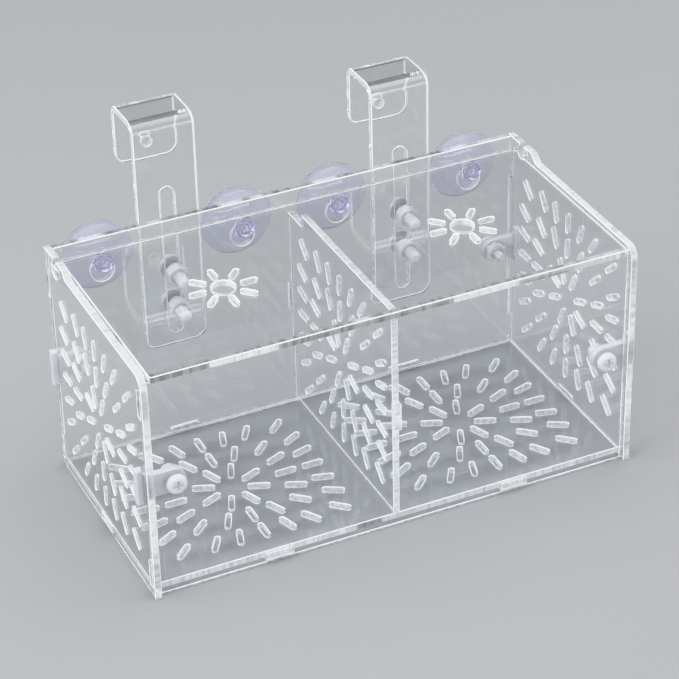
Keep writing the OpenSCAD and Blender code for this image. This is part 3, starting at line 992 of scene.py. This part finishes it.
@dataclass(frozen=True)
class PanScrew:
    """A pan-head screw: head below the origin, thread up along +Z.

    Attributes:
        thread_r: outer radius of the thread.
        length: length under the head.
        head_r: radius of the head.
        head_h: height of the head.
        pitch: distance between the thread's turns.
        cross_w: width of the driver cross.
        cross_depth: its depth.
        tip: length over which the end is rounded.
        tip_share: the end's radius beside the thread's.
        thread_depth: depth of the thread beside its pitch.
        crest_gain: how much wider than a point the thread's crest is.
        edge: chamfer under the head.
        crown: radius of the head's rounding beside its height.
        crown_steps: facets of that rounding.
        steps: facets round the thread.
        head_steps: facets round the head.
        rows_per_turn: rings to one turn of the thread.
    """

    thread_r: float
    length: float
    head_r: float
    head_h: float
    pitch: float
    cross_w: float = 0.9 * MM
    cross_depth: float = 1.0 * MM
    tip: float = 1.1 * MM
    tip_share: float = 0.45
    thread_depth: float = 0.55
    crest_gain: float = 1.35
    edge: float = 0.12 * MM
    crown: float = 0.62
    crown_steps: int = 7
    steps: int = 28
    head_steps: int = 48
    rows_per_turn: int = 6

    def thread(self) -> tuple[list[Point], Faces]:
        """Draws a rod whose radius follows the thread's turns, with a blunt round tip.

        Returns:
            Vertices and faces.
        """
        depth = self.thread_depth * self.pitch
        rows = int(self.length / self.pitch * self.rows_per_turn)
        points: list[Point] = []
        for i in range(rows + 1):
            z = self.length * i / rows
            into_tip = max(0.0, self.tip - self.length + z) / self.tip
            dome = self.tip_share + (1 - self.tip_share) * math.sqrt(max(0.0, 1 - into_tip ** 2))
            for k in range(self.steps):
                a = 2 * math.pi * k / self.steps
                phase = (z / self.pitch - k / self.steps) % 1.0
                crest = min(1.0, self.crest_gain * (1 - abs(2 * phase - 1)))
                radius = (self.thread_r - depth * (1 - crest)) * dome
                points.append((radius * math.cos(a), radius * math.sin(a), z))
        rings = [ring(i * self.steps, self.steps) for i in range(rows + 1)]
        faces = [face for low, high in zip(rings, rings[1:]) for face in band(low, high)]
        return points, faces + [rings[0][::-1], rings[-1]]

    def head(self) -> tuple[list[Point], Faces]:
        """Draws the head's turned form, without its cross.

        Returns:
            Vertices and faces.
        """
        r, h, crown = self.head_r, self.head_h, self.crown * self.head_h
        rounding = [
            (r - crown + crown * math.cos(a), crown - h - crown * math.sin(a))
            for a in (math.pi / 2 * i / self.crown_steps for i in range(self.crown_steps + 1))
        ]
        profile = [(0.0, 0.0), (r - self.edge, 0.0), (r, -self.edge)] + rounding + [(0.0, -h - 0.05 * MM)]
        points, faces = turned(profile, self.head_steps)
        return points, [f[::-1] for f in faces]

    def build(self, name: str, finish: bpy.types.Material) -> bpy.types.Object:
        """Makes one screw, head and thread joined, at the origin.

        Args:
            name: the screw's name.
            finish: its finish.

        Returns:
            The new piece.
        """
        head = new_piece(f"{name}_head", *self.head())
        rod = new_piece(f"{name}_rod", *self.thread())
        cutter = self.cross_cutter(name)
        cut = head.modifiers.new("cross", "BOOLEAN")
        cut.operation = "DIFFERENCE"
        cut.solver = "EXACT"
        cut.object = cutter
        whole = bmesh.new()
        whole.from_mesh(shaped(head))
        whole.from_mesh(rod.data)
        mesh = bpy.data.meshes.new(name)
        whole.to_mesh(mesh)
        whole.free()
        for spare in (head, cutter, rod):
            bpy.data.objects.remove(spare)
        piece = linked(name, mesh)
        mesh.materials.clear()
        mesh.materials.append(finish)
        smooth(piece, angle_deg=40.0)
        return piece

    def cross_cutter(self, name: str) -> bpy.types.Object:
        """Makes the driver cross as a cutter that narrows towards its floor.

        Args:
            name: the screw's name.

        Returns:
            The cutter.
        """
        reach, half, narrowing = 0.6 * self.head_r, self.cross_w / 2, 0.6
        top, floor = -self.head_h - 0.5 * MM, -self.head_h + self.cross_depth
        outline = [
            (half, -reach), (half, -half), (reach, -half), (reach, half), (half, half), (half, reach),
            (-half, reach), (-half, half), (-reach, half), (-reach, -half), (-half, -half), (-half, -reach),
        ]
        points = [(x, y, top) for x, y in outline]
        points += [(narrowing * x, narrowing * y, floor) for x, y in outline]
        low, high = ring(0, len(outline)), ring(len(outline), len(outline))
        return new_piece(f"{name}_cross", points, [low[::-1], high] + band(low, high))


@dataclass(frozen=True)
class HexNut:
    """A hexagon nut with chamfered corners, seat at the origin, height along +Z.

    Attributes:
        across_flats: width across its flats.
        height: its height.
        bore_r: radius of its bore.
        lead: width of the chamfer at the bore.
        land: how far the flat ring stops short of the flats.
        foot: height of the seat's flat ring.
        chamfer_deg: slope of the chamfer on the corners.
        steps: facets round it.
    """

    across_flats: float
    height: float
    bore_r: float
    lead: float = 0.3 * MM
    land: float = 0.15 * MM
    foot: float = 0.05 * MM
    chamfer_deg: float = 30.0
    steps: int = 72

    def build(self, name: str, finish: bpy.types.Material) -> bpy.types.Object:
        """Makes the nut at the origin.

        Args:
            name: the nut's name.
            finish: its finish.

        Returns:
            The new piece.
        """
        flat = self.across_flats / 2
        lean = math.tan(math.radians(self.chamfer_deg))
        start = flat - self.land
        sixth = math.pi / 3
        rows: list[Callable[[float], tuple[float, float]]] = [
            lambda r: (self.bore_r, self.foot + self.lead),
            lambda r: (self.bore_r + self.lead, self.foot),
            lambda r: (start, self.foot),
            lambda r: (r, self.foot + (r - start) * lean),
            lambda r: (r, self.height - (r - start) * lean),
            lambda r: (start, self.height),
            lambda r: (self.bore_r + self.lead, self.height),
            lambda r: (self.bore_r, self.height - self.lead),
        ]
        points: list[Point] = []
        for row in rows:
            for k in range(self.steps):
                a = 2 * math.pi * k / self.steps
                from_flat = (a + sixth / 2) % sixth - sixth / 2
                radius, z = row(flat / math.cos(from_flat))
                points.append((radius * math.cos(a), radius * math.sin(a), z))
        rings = [ring(i * self.steps, self.steps) for i in range(len(rows))]
        faces = [face for low, high in zip(rings, rings[1:] + rings[:1]) for face in band(low, high)]
        piece = new_piece(name, points, faces)
        piece.data.materials.append(finish)
        smooth(piece, angle_deg=28.0)
        return piece


@dataclass
class Fastening:
    """The hook screws and the corner straps' screws, with their nuts.

    Attributes:
        hook_screw: the screws that clamp a rim hook.
        strap_screw: the screws that hold a strap.
        hook_nut: the nuts of the hook screws.
        strap_nut: the nuts of the strap screws.
    """

    hook_screw: PanScrew = PanScrew(
        2.42 * MM, length=16.0 * MM, head_r=4.75 * MM, head_h=3.2 * MM, pitch=0.8 * MM,
    )
    strap_screw: PanScrew = PanScrew(
        1.93 * MM, length=12.0 * MM, head_r=3.9 * MM, head_h=2.6 * MM, pitch=0.7 * MM,
    )
    hook_nut: HexNut = HexNut(8.0 * MM, height=4.0 * MM, bore_r=2.5 * MM)
    strap_nut: HexNut = HexNut(7.6 * MM, height=3.2 * MM, bore_r=2.0 * MM)

    def place(self, piece: bpy.types.Object, way: float, at: Point, body: str, node: str) -> None:
        """Moves a piece into place, and ties it to its body and node.

        Args:
            piece: the piece, at the origin.
            way: 1 where it points to the back, -1 to the front.
            at: its place.
            body: its body.
            node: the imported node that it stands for.
        """
        piece.data.transform(facing(Axis.Y.unit(way), Vector(at)))
        tie(piece, body, node)

    def hook_set(self, side: str, screw_finish: bpy.types.Material, nut_finish: bpy.types.Material) -> None:
        """Builds one hook's two screws and two nuts.

        Args:
            side: left or right.
            screw_finish: the screws' finish.
            nut_finish: the nuts' finish.
        """
        node = f"{side}_hook_screws"
        low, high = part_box(node)
        seat_y = high.y - self.hook_screw.head_h
        inset = self.hook_screw.head_r
        for name, z in (("upper", high.z - inset), ("lower", low.z + inset)):
            screw = self.hook_screw.build(f"{side}_{name}_hook_screw", screw_finish)
            self.place(screw, -1, ((low.x + high.x) / 2, seat_y, z), "box", node)
            nut_node = f"{side}_{name}_nut"
            nut = self.hook_nut.build(f"{nut_node}_hex", nut_finish)
            middle = middle_of(nut_node)
            self.place(nut, -1, (middle.x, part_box(nut_node)[1].y, middle.z), nut_node, nut_node)
        LOG.info("fitted %s", node)

    def strap_set(self, screw_finish: bpy.types.Material, nut_finish: bpy.types.Material) -> None:
        """Builds the four strap screws and nuts at the box's corners.

        Args:
            screw_finish: the screws' finish.
            nut_finish: the nuts' finish.
        """
        low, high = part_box("strap_screws")
        nut_low, nut_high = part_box("strap_nuts")
        z = (low.z + high.z) / 2
        reach, inset = self.strap_screw.head_h, self.strap_screw.head_r
        for row, y, nut_y, way in (
            ("front", low.y + reach, nut_low.y, 1),
            ("back", high.y - reach, nut_high.y, -1),
        ):
            for side, x in (("left", low.x + inset), ("right", high.x - inset)):
                screw = self.strap_screw.build(f"{row}_{side}_strap_screw", screw_finish)
                self.place(screw, way, (x, y, z), "box", "strap_screws")
                nut = self.strap_nut.build(f"{row}_{side}_strap_nut", nut_finish)
                self.place(nut, way, (x, nut_y, z), "box", "strap_nuts")
        LOG.info("fitted strap screws and nuts")

    def build(self) -> None:
        """Builds every screw and nut."""
        milky = MilkyNylon("milky_screw", (0.84, 0.85, 0.87, 1.0), 0.3).material()
        clear = MilkyNylon("clear_nut", (0.95, 0.957, 0.967, 1.0), 0.5, 0.16).material()
        self.hook_set("left", milky, clear)
        self.hook_set("right", milky, clear)
        self.strap_set(milky, clear)


@dataclass
class CornerStraps:
    """The four T-shaped nylon straps, with softly rounded edges.

    Attributes:
        nodes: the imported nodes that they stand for.
        rounding: radius of the rounded edges.
        segments: facets across a rounded edge.
    """

    nodes: tuple[str, ...] = ("front_left_strap", "front_right_strap", "back_left_strap", "back_right_strap")
    rounding: float = 0.45 * MM
    segments: int = 3

    def build(self, packed: Nodes) -> None:
        """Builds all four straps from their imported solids.

        Args:
            packed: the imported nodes.
        """
        finish = MilkyNylon("strap_nylon", (0.76, 0.768, 0.8, 1.0), 0.3, 0.34).material()
        for node in self.nodes:
            self.strap(node, packed[node], finish)
            LOG.info("moulded %s", node)

    def strap(self, node: str, packed: bpy.types.Object, finish: bpy.types.Material) -> None:
        """Builds one strap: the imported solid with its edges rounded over.

        Args:
            node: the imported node's name.
            packed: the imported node.
            finish: the strap's finish.
        """
        mesh = bmesh.new()
        mesh.from_mesh(packed.data)
        bmesh.ops.remove_doubles(mesh, verts=mesh.verts, dist=MERGE)
        bmesh.ops.dissolve_limit(mesh, angle_limit=math.radians(1), verts=mesh.verts, edges=mesh.edges)
        data = bpy.data.meshes.new(f"{node}_nylon")
        mesh.to_mesh(data)
        mesh.free()
        piece = linked(f"{node}_nylon", data)
        bevel = piece.modifiers.new("round", "BEVEL")
        bevel.width = self.rounding
        bevel.segments = self.segments
        bevel.limit_method = "ANGLE"
        bevel.angle_limit = math.radians(40)
        rounded = shaped(piece)
        piece.modifiers.clear()
        piece.data = rounded
        rounded.materials.clear()
        rounded.materials.append(finish)
        smooth(piece, angle_deg=40.0)
        tie(piece, "box", node)


# ---- Studio -------------------------------------------------------------------------------------


@dataclass
class Studio:
    """Pale floor, soft lights and the camera.

    Attributes:
        eye: the camera's place.
        yaw_deg: how far the view turns from +Y towards +X.
        pitch_deg: how far it looks down.
        roll_deg: how far the camera leans.
        focal_px: focal length in pixels of the square frame.
        frame_px: width of the square frame in pixels.
        sensor: the film's width in millimetres.
        near: distance at which the camera starts to see.
        aim: the point that the lights shine at.
        floor_half: half the floor's length and width.
        floor_rise: height of its far edge.
        floor_bend: radius of its curve.
        bend_steps: facets round the curve.
        sky_colour: colour of the even glow.
        sky_strength: strength of the even glow.
        clear_bounces: how many clear surfaces light may cross.
    """

    eye: Point = (-0.3504, -0.7813, 0.5916)
    yaw_deg: float = 24.373
    pitch_deg: float = 32.296
    roll_deg: float = -1.449
    focal_px: float = 2619.9
    frame_px: float = 679.0
    sensor: float = 36.0
    near: float = 0.01
    aim: Point = (0.0, 0.0, 0.05)
    floor_half: tuple[float, float] = (5.0, 2.2)
    floor_rise: float = 1.6
    floor_bend: float = 0.8
    bend_steps: int = 12
    sky_colour: Colour = (0.9, 0.925, 0.96, 1.0)
    sky_strength: float = 0.36
    clear_bounces: int = 24

    def camera(self) -> None:
        """Makes the scene's camera."""
        yaw, pitch, roll = (math.radians(a) for a in (self.yaw_deg, self.pitch_deg, self.roll_deg))
        forward = Vector((math.sin(yaw) * math.cos(pitch), math.cos(yaw) * math.cos(pitch), -math.sin(pitch)))
        level = Vector((math.cos(yaw), -math.sin(yaw), 0.0))
        upright = level.cross(forward)
        right = math.cos(roll) * level + math.sin(roll) * upright
        up = -math.sin(roll) * level + math.cos(roll) * upright
        data = bpy.data.cameras.new("camera")
        data.sensor_width = self.sensor
        data.lens = self.focal_px / self.frame_px * self.sensor
        data.clip_start = self.near
        camera = linked("camera", data)
        turn = Matrix((right, up, -forward)).transposed().to_4x4()
        camera.matrix_world = Matrix.Translation(self.eye) @ turn
        bpy.context.scene.camera = camera

    def lamp(self, name: str, at: Point, size: tuple[float, float], power: float, colour: Colour) -> None:
        """Adds a soft light that shines at the box.

        Args:
            name: the light's name.
            at: its place.
            size: its width and height.
            power: its power in watts.
            colour: its colour.
        """
        data = bpy.data.lights.new(name, "AREA")
        data.shape = "RECTANGLE"
        data.size, data.size_y = size
        data.energy = power
        data.color = colour[:3]
        linked(name, data).matrix_world = facing(Vector(at) - Vector(self.aim), Vector(at))

    def floor(self) -> None:
        """Lays the floor, which curves up far behind the box."""
        width, depth = self.floor_half
        radius = self.floor_bend
        rows = [(-depth, 0.0)]
        for i in range(self.bend_steps + 1):
            a = math.pi / 2 * i / self.bend_steps
            rows.append((depth - radius + radius * math.sin(a), radius - radius * math.cos(a)))
        rows.append((depth, self.floor_rise))
        points = [(x, y, z) for y, z in rows for x in (-width, width)]
        faces = [[2 * i, 2 * i + 1, 2 * i + 3, 2 * i + 2] for i in range(len(rows) - 1)]
        floor = new_piece("studio_floor", points, faces)
        floor.data.materials.append(StudioPaper().material())
        smooth(floor)

    def light(self) -> None:
        """Sets the soft lights and the sky's even glow."""
        self.lamp("left_light", (-1.25, 0.0, 0.85), (1.4, 1.1), 22.0, (1.0, 0.99, 0.97, 1.0))
        self.lamp("top_light", (0.1, 0.0, 1.6), (2.2, 2.0), 27.0, WHITE)
        self.lamp("front_light", (0.1, -1.6, 0.26), (2.4, 0.46), 11.0, WHITE)
        self.lamp("right_light", (1.15, -0.05, 1.02), (1.4, 0.8), 9.0, (0.96, 0.98, 1.0, 1.0))
        world = bpy.data.worlds.new("soft_sky")
        world.use_nodes = True
        sky = world.node_tree.nodes["Background"]
        sky.inputs["Color"].default_value = self.sky_colour
        sky.inputs["Strength"].default_value = self.sky_strength
        bpy.context.scene.world = world

    def film(self) -> None:
        """Keeps whites white and greys true in the picture."""
        view = bpy.context.scene.view_settings
        view.view_transform = "Khronos PBR Neutral"
        view.exposure = 0.0

    def light_paths(self) -> None:
        """Lets light cross many clear sheets, and leaves focused glints out."""
        cycles = bpy.context.scene.cycles
        cycles.max_bounces = self.clear_bounces
        cycles.transmission_bounces = self.clear_bounces
        cycles.glossy_bounces = self.clear_bounces // 2
        cycles.transparent_max_bounces = self.clear_bounces * 2
        cycles.caustics_reflective = False
        cycles.caustics_refractive = False

    def build(self) -> None:
        """Makes the whole studio."""
        self.camera()
        self.floor()
        self.light()
        self.film()
        self.light_paths()


def main() -> None:
    """Builds the studio and every piece."""
    logging.basicConfig(level=logging.INFO, format="%(name)s: %(message)s")
    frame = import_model()
    Studio().build()
    SheetWork().build(frame["nodes"])
    CupSet().build()
    Fastening().build()
    CornerStraps().build(frame["nodes"])


if __name__ == "__main__":
    main()
